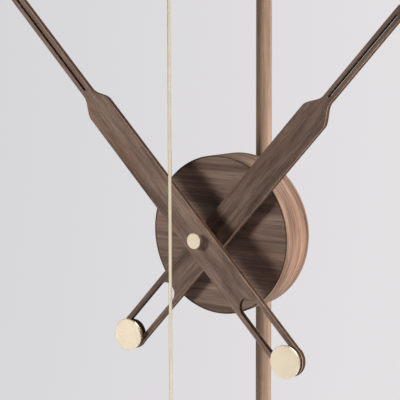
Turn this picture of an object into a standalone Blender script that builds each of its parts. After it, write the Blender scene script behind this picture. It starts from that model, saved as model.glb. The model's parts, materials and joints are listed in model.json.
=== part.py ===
"""Pendulum wall clock: a turned walnut drum on an upright pole, two counterweighted hands and a long pendulum.

Metres, +Z up, front towards -Y. The wall is the plane y = 0 and the hands turn about the line x = z = 0.
Sizes are given in millimetres and turned into metres when each mesh is made.
"""

import math

import bmesh
import bpy
from mathutils import Matrix, Vector

MM = 0.001
GAP = 0.3              # clearance left between touching pieces
SMOOTH_ANGLE = 32.0    # edges sharper than this stay crisp

# Upright pole and what holds it to the wall
POLE_R = 7.7
POLE_Y = -38.0
POLE_TOP = 475.0
POLE_BOTTOM = -475.0
POLE_CHAMFER = 0.6
CAP_OVERHANG = 0.8     # of the pole's end caps
CAP_T = 5.0
BRACKET_Z = 400.0      # height of the upper and lower wall brackets above and below the hand axis
COLLAR_R = 11.5
COLLAR_BORE_R = POLE_R + 0.15
COLLAR_H = 16.0
POST_R = 5.5
POST_BITE = 1.6        # how far outside the bore a post starts
FLANGE_T = 2.2
FLANGE_CONE = 0.8      # length of the flare behind a flange
WALL_FLANGE_R = 8.0
DRUM_FLANGE_R = 9.0
WALL_PLATE_R = 20.0
WALL_PLATE_T = 3.0
WALL_HOLE_X = 13.5
WALL_HOLE_R = 2.25

# Drum
DRUM_R = 75.8          # at the face
DRUM_BACK_R = 74.8     # the side draws in slightly towards the wall
DRUM_DEPTH = 40.6
FACE_Y = -116.0
DRUM_BACK_Y = FACE_Y + DRUM_DEPTH
RIM_LIP = 1.1          # bare end of the rim that shows around the face
RIM_INNER_R = 67.0
RIM_CHAMFER = 0.6
FACE_T = 5.0
FACE_HOLE_R = 4.2
BACK_T = 4.0
BACK_INSET = 1.0
BACK_WINDOW = 58.0
DRUM_BRACKET_Z = 42.0
BACK_SCREW_R = 69.6    # on the ledge that the rim leaves behind the panel
BACK_SCREW_ANGLES = (("top", 90.0), ("left", 210.0), ("right", 330.0))
BACK_SCREW_DEPTH = 8.0
SCREW_R = 1.6
SCREW_HOLE_R = 1.8
SCREW_HEAD_R = 3.2
SCREW_HEAD_T = 1.9
SCREW_HEAD_CHAMFER = 0.6

# Hands; lengths are measured along the hand from the axis
HAND_T = 5.4
HAND_CHAMFER = 0.35
HOUR_FRONT_Y = FACE_Y - 11.9
MINUTE_FRONT_Y = FACE_Y - 36.1
MINUTE_ANGLE = -44.5   # degrees clockwise from twelve, at rest
HOUR_ANGLE = 42.5
HAND_HALF_W = 14.8
TAIL_S = -142.0
TAIL_END_R = 15.2
SLOT_HALF_W = 9.9
SLOT_INNER_S = -70.9
PAD_R = 13.4
MINUTE_TIP_S = 380.0
MINUTE_BLADE_HALF_W = 5.6
MINUTE_SHOULDER = (163.0, 184.5)
HOUR_TIP_S = 300.0
HOUR_BLADE_HALF_W = 4.9
HOUR_SHOULDER = (161.0, 183.0)
SLIT_HALF_W = 0.95
SLIT_START = 3.0       # past the end of the shoulder
SLIT_END = 14.0        # short of the tip
NOSE_L = 9.0
NOSE = ((0.93, 6.0), (0.78, 3.2), (0.52, 1.1), (0.22, 0.2))    # share of half width, distance short of the tip
BOSS_R = 14.0
BOSS_T = 4.0
WEIGHT_R = 15.3
WEIGHT_T = 2.5
HAND_PLAY = 0.2        # between hand, boss and weight
WEIGHT_SCREW_R = 1.25
WEIGHT_SCREW_HOLE_R = 1.4
WEIGHT_SCREW_HEAD_R = 2.6
WEIGHT_SCREW_HEAD_T = 1.3
WEIGHT_SCREW_ROUNDING = (0.8, 0.5)
WEIGHT_CHAMFER = 0.35
WEIGHT_SOCKET = 0.6    # share of the weight's thickness

# Spindle
ARBOR_R = 1.5
TUBE_R = 2.6
TUBE_BORE_R = 1.6
BUSH_R = 3.8
BUSH_BORE_R = 2.7
HOUR_COLLAR_T = 1.2
KNOB_R = 7.4
KNOB_T = 1.6
KNOB_NECK_R = 6.5
KNOB_FRONT_Y = FACE_Y - 43.0
KNOB_CHAMFER = 0.4
KNOB_CAP_T = 2.4       # solid metal in front of its threaded bore
ARBOR_REAR = 1.2       # past the cannon pinion
SPACER_R = 5.0
SPACER_END = 1.8       # short of the rear hand
HOUR_COLLAR_R = 7.0
BUSH_FLANGE_R = 6.0
BUSH_FLANGE_T = 1.0
BUSH_TIP = 4.6         # in front of the face
WASHER_R = 7.5
WASHER_T = 0.8
NUT_HALF_FLATS = 5.5
NUT_T = 2.2

# Movement
CASE_HALF = 28.0
CASE_WALL = 1.5
CASE_FRONT_Y = FACE_Y + FACE_T + 0.4
CASE_DEPTH = 16.0
LID_T = 1.7
SETTING_DISTANCE = 12.0
SETTING_ANGLE = 45.0
CANNON_TEETH, SETTING_TEETH = 10, 30
PINION_TEETH, HOUR_TEETH = 8, 32
HOUR_WHEEL_Y = (-107.4, -106.0)
MINUTE_WHEEL_Y = (-104.6, -103.2)
PINION_OVERHANG = 0.3
BATTERY_R = 6.95
BATTERY_Z = -19.2
BATTERY_ENDS = (-24.2, 25.0)
BAY_HALF = 26.2
CONTACT_T = 0.5
CONTACT_HALF_H = 5.0
BATTERY_TIP_R = 2.6
BATTERY_TIP_L = 1.4
CASE_CHAMFER = 0.6
BAY_PLAY = 0.2
WHEEL_BORE_PLAY = 0.06
SETTING_ARBOR_R = 0.8
SETTING_ARBOR_END = 3.6
LID_HOLE_R = 1.1
SETTING_KNOB_R = 6.0
SETTING_KNOB_T = 5.8
SETTING_KNOB_CHAMFER = 0.8
SETTING_KNOB_BORE = 4.0
SPOOL_HALF_L = 11.0
SPOOL_FLANGE_R = 4.0
SPOOL_FLANGE_T = 1.0
SPOOL_R = 3.2
SPOOL_PLACE = (-12.0, 21.6)
BOARD_LOW = (-24.0, -98.0, -2.0)
BOARD_HIGH = (-6.0, -96.8, 16.0)

# Arm, head and pendulum
PIVOT_Z = 445.0
ROD_Y = FACE_Y - 79.4
ROD_R = 1.6
ROD_PLAY = 0.1         # round the rod, in everything it passes through
HEAD_R = 27.0
HEAD_WALL = 4.0
HEAD_Z = PIVOT_Z - 10.0
HEAD_BACK_Y = -172.0
HEAD_FRONT_Y = -217.0
HEAD_COVER_T = 4.0
HEAD_SLOT_HALF = (6.5, 5.0)
HEAD_SLOT_REACH = 8.0
ARM_R = 6.5
ARM_STUB_WALL = 1.5
ARM_STUB_L = 3.0
ARM_COLLAR_R = COLLAR_R + 0.5
ARM_COLLAR_H = 20.0
PIN_R = 1.5
HANGER_BORE_R = 1.55
HANGER_R = 5.0
HANGER_HALF_T = 2.0
HANGER_STEM_R = 3.2
HANGER_STEM_START = (1.8, 3.2)     # radius and distance below the pin
HANGER_STEM_SHOULDER = 6.5
HANGER_STEM_L = 25.0
HANGER_STEM_TIP_R = 2.4
HANGER_SOCKET = 9.0
MAGNET_DROP = 16.0
MAGNET_R = 4.0
MAGNET_T = 3.5
COIL_BORE_R = 2.2
COIL_R = 7.0
COIL_T = 3.6
COIL_AIR = 0.6
DRIVE_BOARD_HALF_W = 14.0
DRIVE_BOARD_Z = (-16.0, 5.0)
DRIVE_BOARD_T = 1.2
CELL_R = 10.0
CELL_T = 3.2
CELL_DROP = 5.5
BOB_DROP = 990.0
BOB_R = 55.0
BOB_T = 14.0
BOB_FLAT = 6.0         # from the edge to where the bob's cheeks become flat
BOB_SHOULDERS = ((2.2, 1.2), (0.5, 3.6))    # inside the edge, behind the cheek
ROD_TAIL = 8.0         # rod below the bob
BOB_END_GAP = 0.4
END_CAP_R = 4.4
END_CAP_NECK_R = 3.0
END_CAP_L = 10.0
FERRULE_R = 3.4
FERRULE_H = 9.0
FERRULE_CHAMFER = 0.5

WALNUT = (0.115, 0.062, 0.038)
WALNUT_WARM = (0.20, 0.11, 0.065)
BRASS = (0.72, 0.58, 0.33)
STEEL = (0.55, 0.56, 0.58)
BLACK_PLASTIC = (0.02, 0.02, 0.022)
GREY_PLASTIC = (0.32, 0.33, 0.34)
NYLON = (0.75, 0.74, 0.70)
COPPER = (0.62, 0.25, 0.12)
BOARD_GREEN = (0.03, 0.16, 0.07)


# ---------------------------------------------------------------- shared builders

def material(name, colour, metallic, roughness):
    mat = bpy.data.materials.new(name)
    mat.use_nodes = True
    shader = mat.node_tree.nodes["Principled BSDF"]
    shader.inputs["Base Color"].default_value = (*colour, 1.0)
    shader.inputs["Metallic"].default_value = metallic
    shader.inputs["Roughness"].default_value = roughness
    mat.diffuse_color = (*colour, 1.0)
    return mat


def wood(name, colour=WALNUT):
    return material(name, colour, 0.0, 0.55)


def metal(name, colour=BRASS):
    return material(name, colour, 1.0, 0.3)


def plastic(name, colour):
    return material(name, colour, 0.0, 0.45)


def finish(name, bm, mat, origin=(0.0, 0.0, 0.0), turn=0.0):
    """Make an object from a bmesh in millimetres: origin at `origin`, turned clockwise by `turn` degrees."""
    bmesh.ops.recalc_face_normals(bm, faces=bm.faces)
    bmesh.ops.transform(bm, matrix=Matrix.Translation(-Vector(origin)), verts=bm.verts)
    bmesh.ops.scale(bm, vec=(MM, MM, MM), verts=bm.verts)
    mesh = bpy.data.meshes.new(name)
    bm.to_mesh(mesh)
    bm.free()
    mesh.shade_smooth()
    mesh.set_sharp_from_angle(angle=math.radians(SMOOTH_ANGLE))
    mesh.materials.append(mat)
    obj = bpy.data.objects.new(name, mesh)
    obj.location = Vector(origin) * MM
    obj.rotation_euler = (0.0, math.radians(turn), 0.0)
    bpy.context.scene.collection.objects.link(obj)
    return obj


def on_axis(axis, centre, r, a, angle):
    """A point at radius r and height a of a turned piece."""
    c, s = r * math.cos(angle), r * math.sin(angle)
    x, y, z = {"X": (a, c, s), "Y": (c, a, s), "Z": (c, s, a)}[axis]
    return (x + centre[0], y + centre[1], z + centre[2])


def turned(name, profile, mat, axis="Y", centre=(0.0, 0.0, 0.0), sides=48, origin=(0.0, 0.0, 0.0)):
    """Revolve a closed profile of (radius, height) points; points at radius 0 become poles."""
    bm = bmesh.new()
    rings = []
    for r, a in profile:
        if r < 1e-9:
            rings.append([bm.verts.new(on_axis(axis, centre, 0.0, a, 0.0))])
        else:
            step = 2.0 * math.pi / sides
            rings.append([bm.verts.new(on_axis(axis, centre, r, a, k * step)) for k in range(sides)])
    for first, second in zip(rings, rings[1:] + rings[:1]):
        if len(first) == 1 and len(second) == 1:
            continue
        for k in range(sides):
            n = (k + 1) % sides
            if len(first) == 1:
                bm.faces.new((first[0], second[k], second[n]))
            elif len(second) == 1:
                bm.faces.new((first[k], second[0], first[n]))
            else:
                bm.faces.new((first[k], second[k], second[n], first[n]))
    return finish(name, bm, mat, origin)


def solid_profile(r, a0, a1, chamfer=0.0):
    low, high = min(a0, a1), max(a0, a1)
    if not chamfer:
        return [(0.0, low), (r, low), (r, high), (0.0, high)]
    return [
        (0.0, low),
        (r - chamfer, low),
        (r, low + chamfer),
        (r, high - chamfer),
        (r - chamfer, high),
        (0.0, high),
    ]


def ring_profile(bore, r, a0, a1, chamfer=0.0):
    low, high = min(a0, a1), max(a0, a1)
    if not chamfer:
        return [(bore, low), (r, low), (r, high), (bore, high)]
    return [
        (bore, low),
        (r - chamfer, low),
        (r, low + chamfer),
        (r, high - chamfer),
        (r - chamfer, high),
        (bore, high),
    ]


def inset_loop(points, amount):
    """Move each point of a counter-clockwise loop inwards (outwards for a clockwise one) by `amount`."""
    moved = []
    count = len(points)
    for k, (x, z) in enumerate(points):
        px, pz = points[k - 1]
        nx, nz = points[(k + 1) % count]
        before = Vector((x - px, z - pz)).normalized()
        after = Vector((nx - x, nz - z)).normalized()
        along = (before + after).normalized()
        stretch = 1.0 / max(0.5, along.dot(after))
        moved.append((x - along.y * amount * stretch, z + along.x * amount * stretch))
    return moved


def plate(name, outline, holes, y0, y1, mat, chamfer=0.0, origin=(0.0, 0.0, 0.0), turn=0.0):
    """A flat piece lying in an x-z plane between y0 and y1: outline counter-clockwise, holes clockwise."""
    bm = bmesh.new()
    low, high = min(y0, y1), max(y0, y1)
    if chamfer:
        layers = [(low, chamfer), (low + chamfer, 0.0), (high - chamfer, 0.0), (high, chamfer)]
    else:
        layers = [(low, 0.0), (high, 0.0)]
    caps = ([], [])
    for loop in [outline] + holes:
        rows = []
        for y, amount in layers:
            points = inset_loop(loop, amount) if amount else loop
            rows.append([bm.verts.new((x, y, z)) for x, z in points])
        for first, second in zip(rows, rows[1:]):
            for k in range(len(loop)):
                n = (k + 1) % len(loop)
                bm.faces.new((first[k], first[n], second[n], second[k]))
        for edges, row in zip(caps, (rows[0], rows[-1])):
            for k in range(len(row)):
                edges.append(bm.edges.get((row[k], row[(k + 1) % len(row)])))
    for edges in caps:
        bmesh.ops.triangle_fill(bm, use_beauty=True, use_dissolve=False, edges=edges)
    return finish(name, bm, mat, origin, turn)


def block(name, low, high, mat, chamfer=0.0, origin=(0.0, 0.0, 0.0)):
    bm = bmesh.new()
    size = Vector(high) - Vector(low)
    middle = (Vector(high) + Vector(low)) / 2.0
    bmesh.ops.create_cube(bm, size=1.0)
    bmesh.ops.scale(bm, vec=size, verts=bm.verts)
    bmesh.ops.translate(bm, vec=middle, verts=bm.verts)
    if chamfer:
        bmesh.ops.bevel(bm, geom=list(bm.edges), offset=chamfer, segments=1, affect="EDGES")
    return finish(name, bm, mat, origin)


def tool(obj):
    """Mark an object as a cutter: it shapes its neighbour and is no piece of the clock."""
    obj.hide_render = True
    obj.display_type = "WIRE"
    return obj


def combine(obj, other, operation):
    mod = obj.modifiers.new(operation.lower() + "_" + other.name, "BOOLEAN")
    mod.operation = operation
    mod.solver = "EXACT"
    mod.object = tool(other)


def arc(cx, cz, r, start, end, steps):
    """Points on an arc, angles in degrees anticlockwise from +x, ends included."""
    points = []
    for k in range(steps + 1):
        angle = math.radians(start + (end - start) * k / steps)
        points.append((cx + r * math.cos(angle), cz + r * math.sin(angle)))
    return points


def circle(cx, cz, r, sides, clockwise=False):
    points = arc(cx, cz, r, 0.0, 360.0 * (sides - 1) / sides, sides - 1)
    return points[::-1] if clockwise else points


# ---------------------------------------------------------------- pole and wall brackets

def pole():
    turned("pole", solid_profile(POLE_R, POLE_BOTTOM, POLE_TOP, POLE_CHAMFER), wood("walnut_pole", WALNUT_WARM),
           "Z", (0.0, POLE_Y, 0.0), 36)
    rim = POLE_R + CAP_OVERHANG
    cap = [(0.0, GAP), (rim - 0.3, GAP), (rim, GAP + 0.4), (rim, CAP_T - 1.8), (rim - 1.4, CAP_T - 0.4),
           (0.0, CAP_T)]
    turned("pole_cap_top", [(r, POLE_TOP + a) for r, a in cap], metal("brass_cap_top"),
           "Z", (0.0, POLE_Y, 0.0), 24)
    turned("pole_cap_bottom", [(r, POLE_BOTTOM - a) for r, a in cap], metal("brass_cap_bottom"),
           "Z", (0.0, POLE_Y, 0.0), 24)


def collar_with_post(name, z, y_near, y_far, flange):
    """A ring clamped round the pole with a post standing off it along Y, ending in a flange."""
    mat = metal("brass_" + name)
    ring = turned(name, ring_profile(COLLAR_BORE_R, COLLAR_R, z - COLLAR_H / 2, z + COLLAR_H / 2),
                  mat, "Z", (0.0, POLE_Y, 0.0), 24)
    side = 1.0 if y_far > y_near else -1.0
    cone = y_far - side * (FLANGE_T + FLANGE_CONE)
    post = [(0.0, y_near), (POST_R, y_near), (POST_R, cone), (flange, y_far - side * FLANGE_T),
            (flange, y_far), (0.0, y_far)]
    combine(ring, turned(name + "_post", post, mat, "Y", (0.0, 0.0, z), 16), "UNION")


def wall_bracket(label, z):
    y_near = POLE_Y + COLLAR_BORE_R + POST_BITE
    collar_with_post("wall_bracket_" + label, z, y_near, -WALL_PLATE_T - GAP, WALL_FLANGE_R)
    holes = [circle(x, z, WALL_HOLE_R, 12, True) for x in (-WALL_HOLE_X, WALL_HOLE_X)]
    plate("wall_plate_" + label, circle(0.0, z, WALL_PLATE_R, 32), holes, -WALL_PLATE_T, 0.0,
          metal("brass_wall_plate_" + label))


def drum_bracket(label, z):
    y_near = POLE_Y - COLLAR_BORE_R - POST_BITE
    y_far = DRUM_BACK_Y - BACK_INSET + GAP
    collar_with_post("drum_bracket_" + label, z, y_near, y_far, DRUM_FLANGE_R)


# ---------------------------------------------------------------- drum

def drum():
    lip_r = DRUM_R - RIM_LIP
    back_lip_r = DRUM_BACK_R - RIM_LIP
    seat_y = FACE_Y + FACE_T + GAP
    back_seat = DRUM_BACK_Y - BACK_INSET - BACK_T - GAP
    rim = [
        (lip_r, FACE_Y), (DRUM_R - 0.5, FACE_Y), (DRUM_R, FACE_Y + 0.5),
        (DRUM_BACK_R, DRUM_BACK_Y - RIM_CHAMFER), (DRUM_BACK_R - RIM_CHAMFER, DRUM_BACK_Y),
        (back_lip_r, DRUM_BACK_Y),
        (back_lip_r, back_seat), (RIM_INNER_R, back_seat), (RIM_INNER_R, seat_y), (lip_r, seat_y),
    ]
    band = turned("drum_rim", rim, wood("walnut_rim", WALNUT_WARM), "Y", sides=60)
    for label, angle in BACK_SCREW_ANGLES:
        x, z = back_screw_place(angle)
        pilot = solid_profile(SCREW_HOLE_R, back_seat - BACK_SCREW_DEPTH - 1.0, back_seat + 1.0)
        combine(band, turned("pilot_hole_" + label, pilot, wood("pilot_hole_" + label), "Y", (x, 0.0, z), 12),
                "DIFFERENCE")
    face_r = lip_r - GAP
    plate("drum_face", circle(0.0, 0.0, face_r, 60), [circle(0.0, 0.0, FACE_HOLE_R, 20, True)],
          FACE_Y, FACE_Y + FACE_T, wood("walnut_face"))
    half = BACK_WINDOW / 2.0
    window = [(-half, -half), (-half, half), (half, half), (half, -half)]
    holes = [window]
    for label, angle in BACK_SCREW_ANGLES:
        x, z = back_screw_place(angle)
        holes.append(circle(x, z, SCREW_HOLE_R, 12, True))
    outer = DRUM_BACK_Y - BACK_INSET
    plate("drum_back", circle(0.0, 0.0, back_lip_r - GAP, 40), holes, outer - BACK_T, outer,
          wood("walnut_back"))


def back_screw_place(angle):
    turn = math.radians(angle)
    return BACK_SCREW_R * math.cos(turn), BACK_SCREW_R * math.sin(turn)


def back_screw(label, angle):
    """Cheese-head screw through the back panel into the rim's ledge."""
    x, z = back_screw_place(angle)
    outer = DRUM_BACK_Y - BACK_INSET
    tip = outer - BACK_T - BACK_SCREW_DEPTH
    under = outer + GAP
    head = under + SCREW_HEAD_T
    profile = [
        (0.0, tip), (SCREW_R, tip + 1.0), (SCREW_R, under), (SCREW_HEAD_R, under),
        (SCREW_HEAD_R, head - SCREW_HEAD_CHAMFER), (SCREW_HEAD_R - SCREW_HEAD_CHAMFER, head), (0.0, head),
    ]
    turned("back_screw_" + label, profile, metal("steel_back_screw_" + label, STEEL), "Y", (x, 0.0, z), 12)


# ---------------------------------------------------------------- hands

def shoulder_half_width(s, blade, shoulder):
    u = (s - shoulder[0]) / (shoulder[1] - shoulder[0])
    u = min(1.0, max(0.0, u))
    ease = u * u * (3.0 - 2.0 * u)
    return HAND_HALF_W + (blade - HAND_HALF_W) * ease


def hand_outline(tip, blade, shoulder):
    """Right-hand side from the tail round the tip, then the left-hand side back to the tail."""
    start, end = shoulder
    steps = 11
    right = [(HAND_HALF_W, TAIL_S + TAIL_END_R * 0.25)]
    for k in range(steps + 1):
        s = start + (end - start) * k / steps
        right.append((shoulder_half_width(s, blade, shoulder), s))
    right.append((blade, tip - NOSE_L))
    right += [(blade * share, tip - back) for share, back in NOSE]
    left = [(-t, s) for t, s in reversed(right)]
    dip = math.degrees(math.asin(0.25))
    tail = arc(0.0, TAIL_S, TAIL_END_R, 180.0 + dip * 0.2, 360.0 - dip * 0.2, 18)
    return right + left + tail


def hand_slot():
    """The opening in the tail: round towards the axis, hollowed by the pad under the weight at the far end."""
    inner = arc(0.0, SLOT_INNER_S - SLOT_HALF_W, SLOT_HALF_W, 0.0, 180.0, 12)
    reach = math.degrees(math.acos(SLOT_HALF_W / PAD_R))
    outer = arc(0.0, TAIL_S, PAD_R, 180.0 - reach, reach, 8)
    return (inner + outer)[::-1]


def hand_slit(tip, shoulder):
    low, high = shoulder[1] + SLIT_START, tip - SLIT_END
    points = arc(0.0, low + SLIT_HALF_W, SLIT_HALF_W, 180.0, 360.0, 4)
    points += arc(0.0, high - SLIT_HALF_W, SLIT_HALF_W, 0.0, 180.0, 4)
    return points[::-1]


def hand(name, front, angle, tip, blade, shoulder, bore):
    origin = (0.0, front + HAND_T, 0.0)
    holes = [circle(0.0, 0.0, bore, 20, True), circle(0.0, TAIL_S, WEIGHT_SCREW_HOLE_R, 14, True), hand_slot(),
             hand_slit(tip, shoulder)]
    plate(name + "_hand", hand_outline(tip, blade, shoulder), holes, front, front + HAND_T,
          wood("walnut_" + name + "_hand"), HAND_CHAMFER, origin, angle)
    turn = math.radians(angle)
    centre = (TAIL_S * math.sin(turn), 0.0, TAIL_S * math.cos(turn))
    boss_back = front - HAND_PLAY
    turned(name + "_weight_boss", ring_profile(WEIGHT_SCREW_HOLE_R, BOSS_R, boss_back, boss_back - BOSS_T),
           wood("walnut_" + name + "_boss"), "Y", centre, 40, origin)
    weight_back = boss_back - BOSS_T - HAND_PLAY
    weight_front = weight_back - WEIGHT_T
    socket = weight_back - WEIGHT_T * WEIGHT_SOCKET
    disc = [
        (0.0, weight_front), (WEIGHT_R - WEIGHT_CHAMFER, weight_front),
        (WEIGHT_R, weight_front + WEIGHT_CHAMFER), (WEIGHT_R, weight_back),
        (WEIGHT_SCREW_HOLE_R, weight_back), (WEIGHT_SCREW_HOLE_R, socket), (0.0, socket),
    ]
    turned(name + "_weight", disc, metal("brass_" + name + "_weight"), "Y", centre, 48, origin)
    head = front + HAND_T + GAP
    end = head + WEIGHT_SCREW_HEAD_T
    rounding = WEIGHT_SCREW_ROUNDING
    screw = [
        (0.0, socket + GAP), (WEIGHT_SCREW_R, socket + GAP), (WEIGHT_SCREW_R, head),
        (WEIGHT_SCREW_HEAD_R, head),
        (WEIGHT_SCREW_HEAD_R, end - rounding[1]), (WEIGHT_SCREW_HEAD_R - rounding[0], end), (0.0, end),
    ]
    turned(name + "_weight_screw", screw, metal("steel_" + name + "_weight_screw", STEEL), "Y", centre, 14,
           origin)


# ---------------------------------------------------------------- spindle

def spindle():
    axis = (0.0, MINUTE_FRONT_Y, 0.0)
    rear = MINUTE_WHEEL_Y[1] + PINION_OVERHANG + ARBOR_REAR
    bore_end = KNOB_FRONT_Y + KNOB_CAP_T
    turned("minute_arbor", solid_profile(ARBOR_R, bore_end + 0.4, rear), metal("steel_arbor", STEEL),
           "Y", sides=20, origin=axis)
    spacer = ring_profile(TUBE_BORE_R, SPACER_R, MINUTE_FRONT_Y + HAND_T + GAP, HOUR_FRONT_Y - SPACER_END)
    turned("minute_spacer", spacer, metal("brass_minute_spacer"), "Y", sides=20, origin=axis)
    under = KNOB_FRONT_Y + KNOB_T
    knob = [
        (0.0, bore_end), (TUBE_BORE_R, bore_end), (TUBE_BORE_R, MINUTE_FRONT_Y - GAP),
        (KNOB_NECK_R, MINUTE_FRONT_Y - GAP), (KNOB_NECK_R, under), (KNOB_R - KNOB_CHAMFER, under),
        (KNOB_R, under - KNOB_CHAMFER), (KNOB_R, KNOB_FRONT_Y + KNOB_CHAMFER),
        (KNOB_R - KNOB_CHAMFER, KNOB_FRONT_Y), (0.0, KNOB_FRONT_Y),
    ]
    turned("hand_knob", knob, metal("brass_knob"), "Y", sides=28, origin=axis)
    hour_axis = (0.0, HOUR_FRONT_Y, 0.0)
    turned("hour_tube", ring_profile(TUBE_BORE_R, TUBE_R, HOUR_FRONT_Y - 0.4, HOUR_WHEEL_Y[1] + 0.4),
           metal("brass_hour_tube"), "Y", sides=20, origin=hour_axis)
    back = HOUR_FRONT_Y + HAND_T + GAP
    turned("hour_collar", ring_profile(TUBE_R + 0.1, HOUR_COLLAR_R, back, back + HOUR_COLLAR_T),
           metal("brass_hour_collar"), "Y", sides=24, origin=hour_axis)


def bush_nut_and_washer():
    flange_y = CASE_FRONT_Y + CASE_WALL + 0.2
    tip = FACE_Y - BUSH_TIP
    bush = [
        (BUSH_BORE_R, tip), (BUSH_R - 0.3, tip), (BUSH_R, tip + 0.3), (BUSH_R, flange_y),
        (BUSH_FLANGE_R, flange_y),
        (BUSH_FLANGE_R, flange_y + BUSH_FLANGE_T), (BUSH_BORE_R, flange_y + BUSH_FLANGE_T),
    ]
    turned("movement_bush", bush, metal("brass_bush"), "Y", sides=20)
    washer_y = FACE_Y - GAP
    turned("dial_washer", ring_profile(BUSH_R + 0.1, WASHER_R, washer_y, washer_y - WASHER_T),
           metal("steel_washer", STEEL), "Y", sides=20)
    nut_y = washer_y - WASHER_T - GAP
    hexagon = circle(0.0, 0.0, NUT_HALF_FLATS / math.cos(math.radians(30.0)), 6)
    plate("dial_nut", hexagon, [circle(0.0, 0.0, BUSH_R + 0.1, 20, True)], nut_y - NUT_T, nut_y,
          metal("brass_nut"))


# ---------------------------------------------------------------- movement

def gear_outline(teeth, pitch_r, phase):
    """Slim tapered teeth with backlash; `phase` is the direction of one tooth in degrees."""
    module = 2.0 * pitch_r / teeth
    top, root = pitch_r + 0.8 * module, pitch_r - 1.05 * module
    pitch = 360.0 / teeth
    points = []
    for k in range(teeth):
        middle = phase + k * pitch
        for share, r in ((-0.31, root), (-0.1, top), (0.1, top), (0.31, root)):
            angle = math.radians(middle + share * pitch)
            points.append((r * math.cos(angle), r * math.sin(angle)))
    return points


def gear(name, teeth, pitch_r, phase, y_range, bore, mat, centre=(0.0, 0.0)):
    points = [(x + centre[0], z + centre[1]) for x, z in gear_outline(teeth, pitch_r, phase)]
    hole = circle(centre[0], centre[1], bore, 16, True)
    plate(name, points, [hole], y_range[0], y_range[1], mat, 0.0, (centre[0], y_range[0], centre[1]))


def wheels():
    """Cannon pinion drives the setting wheel; its pinion drives the hour wheel at a twelfth of the speed."""
    cannon_r = SETTING_DISTANCE * CANNON_TEETH / (CANNON_TEETH + SETTING_TEETH)
    setting_r = SETTING_DISTANCE - cannon_r
    pinion_r = SETTING_DISTANCE * PINION_TEETH / (PINION_TEETH + HOUR_TEETH)
    hour_r = SETTING_DISTANCE - pinion_r
    turn = math.radians(SETTING_ANGLE)
    centre = (SETTING_DISTANCE * math.cos(turn), SETTING_DISTANCE * math.sin(turn))
    wide_minute = (MINUTE_WHEEL_Y[0] - PINION_OVERHANG, MINUTE_WHEEL_Y[1] + PINION_OVERHANG)
    wide_hour = (HOUR_WHEEL_Y[0] - PINION_OVERHANG, HOUR_WHEEL_Y[1] + PINION_OVERHANG)
    back = SETTING_ANGLE + 180.0
    arbor_bore = SETTING_ARBOR_R + WHEEL_BORE_PLAY
    gear("cannon_pinion", CANNON_TEETH, cannon_r, SETTING_ANGLE, wide_minute, ARBOR_R + WHEEL_BORE_PLAY,
         metal("steel_cannon_pinion", STEEL))
    gear("setting_wheel", SETTING_TEETH, setting_r, back + 180.0 / SETTING_TEETH, MINUTE_WHEEL_Y, arbor_bore,
         plastic("nylon_setting_wheel", NYLON), centre)
    gear("setting_pinion", PINION_TEETH, pinion_r, back, wide_hour, arbor_bore,
         plastic("nylon_setting_pinion", NYLON), centre)
    gear("hour_wheel", HOUR_TEETH, hour_r, SETTING_ANGLE + 180.0 / HOUR_TEETH, HOUR_WHEEL_Y,
         TUBE_R + WHEEL_BORE_PLAY, plastic("nylon_hour_wheel", NYLON))
    lid_back = CASE_FRONT_Y + CASE_DEPTH + GAP + LID_T
    at = (centre[0], 0.0, centre[1])
    origin = (centre[0], lid_back, centre[1])
    turned("setting_arbor", solid_profile(SETTING_ARBOR_R, wide_hour[0] - 0.2, lid_back + SETTING_ARBOR_END),
           metal("steel_setting_arbor", STEEL), "Y", at, 12, origin)
    knob_y = lid_back + GAP
    top = knob_y + SETTING_KNOB_T
    knob = [
        (0.0, knob_y + SETTING_KNOB_BORE), (arbor_bore, knob_y + SETTING_KNOB_BORE), (arbor_bore, knob_y),
        (SETTING_KNOB_R, knob_y), (SETTING_KNOB_R, top - SETTING_KNOB_CHAMFER),
        (SETTING_KNOB_R - SETTING_KNOB_CHAMFER, top), (0.0, top),
    ]
    turned("setting_knob", knob, plastic("black_setting_knob", BLACK_PLASTIC), "Y", at, 20, origin)
    return centre


def movement_case(setting_centre):
    back = CASE_FRONT_Y + CASE_DEPTH
    tray = block("movement_tray", (-CASE_HALF, CASE_FRONT_Y, -CASE_HALF), (CASE_HALF, back, CASE_HALF),
                 plastic("black_tray", BLACK_PLASTIC), CASE_CHAMFER)
    inner = CASE_HALF - CASE_WALL
    hollow = block("tray_hollow", (-inner, CASE_FRONT_Y + CASE_WALL, -inner), (inner, back + 2.0, inner),
                   plastic("tray_hollow", BLACK_PLASTIC))
    combine(tray, hollow, "DIFFERENCE")
    hole = turned("tray_hole", solid_profile(BUSH_R + 0.1, CASE_FRONT_Y - 2.0, CASE_FRONT_Y + CASE_WALL + 2.0),
                  plastic("tray_hole", BLACK_PLASTIC), "Y", sides=20)
    combine(tray, hole, "DIFFERENCE")
    lid_hole = circle(setting_centre[0], setting_centre[1], LID_HOLE_R, 16, True)
    half = CASE_HALF
    square = [(-half, -half), (half, -half), (half, half), (-half, half)]
    low, high = BATTERY_Z - BATTERY_R - BAY_PLAY, BATTERY_Z + BATTERY_R + BAY_PLAY
    bay = [(-BAY_HALF, low), (-BAY_HALF, high), (BAY_HALF, high), (BAY_HALF, low)]
    plate("movement_lid", square, [lid_hole, bay], back + GAP, back + GAP + LID_T,
          plastic("black_lid", BLACK_PLASTIC))


def battery_contact(label, x, side):
    """Leaf spring standing against the end wall of the battery bay; `side` points into the bay."""
    low, high = BATTERY_Z - CONTACT_HALF_H, BATTERY_Z + CONTACT_HALF_H
    inner, outer = CASE_FRONT_Y + CASE_WALL + 1.0, CASE_FRONT_Y + CASE_DEPTH - 1.0
    x0, x1 = sorted((x, x + side * CONTACT_T))
    block("battery_contact_" + label, (x0, inner, low), (x1, outer, high),
          metal("steel_contact_" + label, STEEL), 0.1)


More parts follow.
